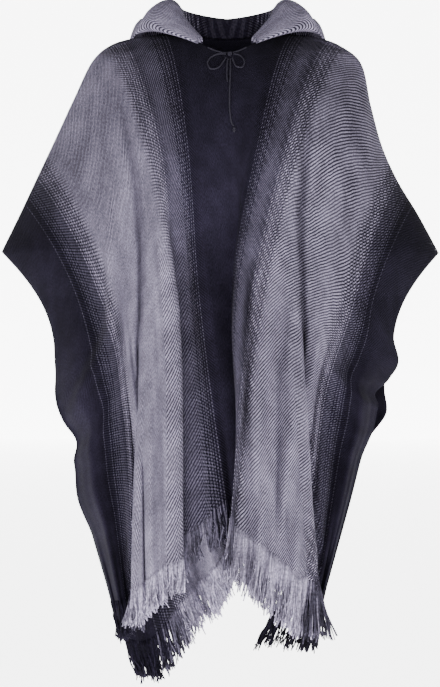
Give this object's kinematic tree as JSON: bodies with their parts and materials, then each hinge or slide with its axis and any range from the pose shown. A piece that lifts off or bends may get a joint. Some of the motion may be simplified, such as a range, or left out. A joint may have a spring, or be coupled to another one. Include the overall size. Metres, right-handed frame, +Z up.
{
  "type": "andean poncho",
  "caption": "Hooded fringed poncho of striped woven cloth, worn with its hood down and its neck drawstring tied in a bow; hollow inside.",
  "frame": {"origin": "the middle of the shoulder line inside the neck hole, where the wearer's shoulders hold the poncho up", "axes": "+X towards the wearer's left arm, on the right seen from the front; the front faces -Y; +Z up"},
  "size_m": [0.7652, 0.4509, 1.214],
  "materials": {
    "front_weave": "brushed alpaca twill with shaded warp stripes, matt",
    "back_weave": "brushed alpaca twill with shaded warp stripes, matt",
    "hood_weave": "brushed alpaca twill with shaded warp stripes, matt",
    "front_fringe_yarn": "loose woollen warp ends, matt",
    "back_fringe_yarn": "loose woollen warp ends, matt",
    "neck_cord_left_yarn": "twisted woollen cord, matt",
    "neck_cord_right_yarn": "twisted woollen cord, matt",
    "bow_knot_yarn": "twisted woollen cord, matt",
    "bow_loop_left_yarn": "twisted woollen cord, matt",
    "bow_loop_right_yarn": "twisted woollen cord, matt",
    "tail_long_yarn": "twisted woollen cord, matt",
    "tail_short_yarn": "twisted woollen cord, matt",
    "tail_knot_yarn": "twisted woollen cord, matt"
  },
  "bodies": {
    "root": {"front_panel": "front_weave", "back_panel": "back_weave", "hood": "hood_weave", "fringe_front": "front_fringe_yarn", "fringe_back": "back_fringe_yarn", "neck_cord_left": "neck_cord_left_yarn", "neck_cord_right": "neck_cord_right_yarn", "bow_knot": "bow_knot_yarn", "bow_loop_left": "bow_loop_left_yarn", "bow_loop_right": "bow_loop_right_yarn", "tail_long": "tail_long_yarn", "tail_short": "tail_short_yarn", "tail_knot": "tail_knot_yarn"}
  },
  "joints": []
}
